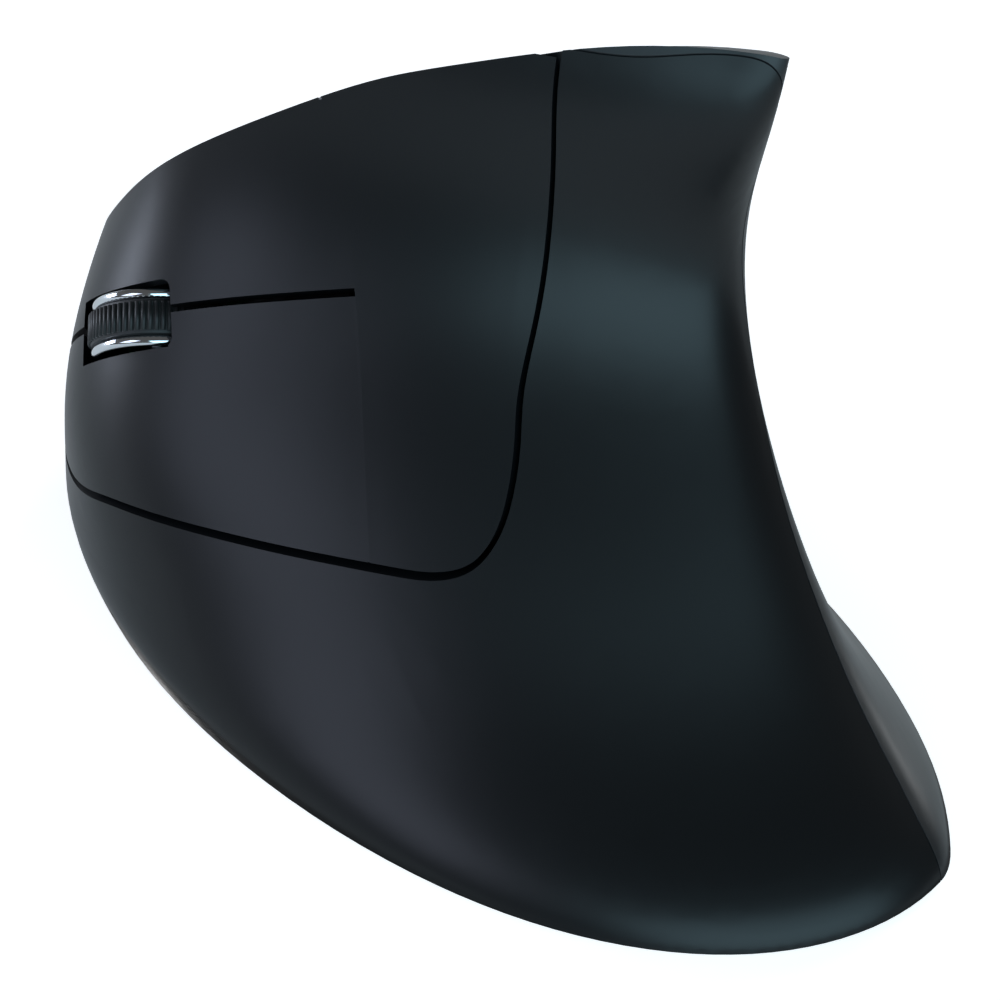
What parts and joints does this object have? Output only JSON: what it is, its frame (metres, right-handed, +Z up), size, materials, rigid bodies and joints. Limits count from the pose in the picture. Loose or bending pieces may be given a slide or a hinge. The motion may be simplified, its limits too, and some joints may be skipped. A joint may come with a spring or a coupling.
{
  "type": "vertical mouse",
  "caption": "Left-handed vertical mouse with a tall sloping finger face, ribbed scroll wheel between bright rims, flexing keys, thumb scoop and stowed receiver.",
  "frame": {"origin": "centre of the bounding box in plan, on the plane that the glide feet stand on", "axes": "+Z up, nose towards -Y, finger face towards +X, thumb side towards -X"},
  "size_m": [0.0726, 0.122, 0.0763],
  "materials": {
    "soft_touch": "matte soft-touch paint over ABS",
    "soft_touch_grey": "matte ABS",
    "black_plastic": "fine-grained ABS",
    "button_plastic": "satin ABS",
    "red_plastic": "glossy ABS",
    "rubber": "ribbed rubber",
    "bright_plate": "bright plated plastic",
    "steel": "plain steel",
    "board_green": "glass-epoxy board with solder mask",
    "switch_black": "moulded nylon",
    "plunger_white": "moulded acetal",
    "cell_jacket": "plastic sleeve over a steel can",
    "clear_lens": "clear acrylic",
    "red_led": "tinted epoxy",
    "glide": "low-friction PTFE"
  },
  "bodies": {
    "housing": {"palm_shell": "soft_touch", "thumb_shell": "soft_touch_grey", "base_plate": "black_plastic", "key_bridge": "soft_touch", "switch_board": "board_green", "main_board": "board_green", "side_board": "board_green", "upper_switch": "switch_black", "lower_switch": "switch_black", "wheel_switch": "switch_black", "forward_switch": "switch_black", "back_switch": "switch_black", "dpi_switch": "switch_black", "battery_cradle": "black_plastic", "inner_cell": "cell_jacket", "outer_cell": "cell_jacket", "contact_springs": "steel", "contact_plates": "steel", "sensor_chip": "switch_black", "sensor_lens": "clear_lens", "sensor_led": "red_led", "power_switch": "switch_black", "base_screws": "steel", "glide_feet": "glide"},
    "upper_key_body": {"upper_key": "soft_touch"},
    "lower_key_body": {"lower_key": "soft_touch"},
    "wheel_carrier_body": {"wheel_carrier": "black_plastic", "wheel_encoder": "switch_black"},
    "wheel_body": {"wheel_tyre": "rubber", "wheel_hub": "black_plastic", "wheel_rim_upper": "bright_plate", "wheel_rim_lower": "bright_plate", "wheel_axle": "steel"},
    "upper_tip": {"upper_plunger": "plunger_white"},
    "lower_tip": {"lower_plunger": "plunger_white"},
    "wheel_tip": {"wheel_plunger": "plunger_white"},
    "forward_tip": {"forward_plunger": "plunger_white"},
    "back_tip": {"back_plunger": "plunger_white"},
    "dpi_tip": {"dpi_plunger": "plunger_white"},
    "forward_button_body": {"forward_button": "button_plastic"},
    "back_button_body": {"back_button": "button_plastic"},
    "dpi_button_body": {"dpi_button": "button_plastic"},
    "door_body": {"battery_door": "black_plastic"},
    "slider_body": {"power_slider": "red_plastic"},
    "receiver_body": {"receiver_plug": "steel", "receiver_cap": "black_plastic"}
  },
  "joints": [
    {"name": "upper_key_press", "type": "hinge", "parent": "housing", "child": "upper_key_body", "pos_m": [-0.00408, -0.02169, 0.04293], "axis": [0.7373, 0.4114, -0.5358], "range_deg": [0, 1.2], "stiffness_Nm_per_rad": 1},
    {"name": "lower_key_press", "type": "hinge", "parent": "housing", "child": "lower_key_body", "pos_m": [-0.00408, -0.02169, 0.04293], "axis": [0.7373, 0.4114, -0.5358], "range_deg": [0, 1.2], "stiffness_Nm_per_rad": 1},
    {"name": "wheel_press", "type": "slide", "parent": "housing", "child": "wheel_carrier_body", "axis": [-0.6132, 0.075, -0.7863], "range_m": [0, 0.0005], "stiffness_N_per_m": 1500},
    {"name": "wheel_spin", "type": "hinge", "parent": "wheel_carrier_body", "child": "wheel_body", "pos_m": [-0.00044, -0.0466, 0.02881], "axis": [0.7373, 0.4114, -0.5358], "continuous": true},
    {"name": "forward_press", "type": "slide", "parent": "housing", "child": "forward_button_body", "axis": [1, 0, 0], "range_m": [0, 0.0005], "stiffness_N_per_m": 1200},
    {"name": "back_press", "type": "slide", "parent": "housing", "child": "back_button_body", "axis": [1, 0, 0], "range_m": [0, 0.0005], "stiffness_N_per_m": 1200},
    {"name": "dpi_press", "type": "slide", "parent": "housing", "child": "dpi_button_body", "axis": [1, 0, 0], "range_m": [0, 0.0005], "stiffness_N_per_m": 1200},
    {"name": "upper_tip_press", "type": "slide", "parent": "housing", "child": "upper_tip", "axis": [-0.6132, 0.075, -0.7863], "range_m": [0, 0.0004]},
    {"name": "lower_tip_press", "type": "slide", "parent": "housing", "child": "lower_tip", "axis": [-0.6132, 0.075, -0.7863], "range_m": [0, 0.0004]},
    {"name": "wheel_tip_press", "type": "slide", "parent": "housing", "child": "wheel_tip", "axis": [-0.6132, 0.075, -0.7863], "range_m": [0, 0.0006]},
    {"name": "forward_tip_press", "type": "slide", "parent": "housing", "child": "forward_tip", "axis": [1, 0, 0], "range_m": [0, 0.0006]},
    {"name": "back_tip_press", "type": "slide", "parent": "housing", "child": "back_tip", "axis": [1, 0, 0], "range_m": [0, 0.0006]},
    {"name": "dpi_tip_press", "type": "slide", "parent": "housing", "child": "dpi_tip", "axis": [1, 0, 0], "range_m": [0, 0.0006]},
    {"name": "door_lift", "type": "slide", "parent": "housing", "child": "door_body", "axis": [0, 0, -1], "range_m": [0, 0.01]},
    {"name": "power_slide", "type": "slide", "parent": "housing", "child": "slider_body", "axis": [1, 0, 0], "range_m": [0, 0.0025]},
    {"name": "receiver_pull", "type": "slide", "parent": "housing", "child": "receiver_body", "axis": [0, 1, 0], "range_m": [0, 0.0078]}
  ],
  "couplings": [
    {"joint": "upper_tip_press", "follows": "upper_key_press", "m_per_rad": 0.016},
    {"joint": "lower_tip_press", "follows": "lower_key_press", "m_per_rad": 0.016},
    {"joint": "wheel_tip_press", "follows": "wheel_press", "ratio": 1},
    {"joint": "forward_tip_press", "follows": "forward_press", "ratio": 1},
    {"joint": "back_tip_press", "follows": "back_press", "ratio": 1},
    {"joint": "dpi_tip_press", "follows": "dpi_press", "ratio": 1}
  ]
}
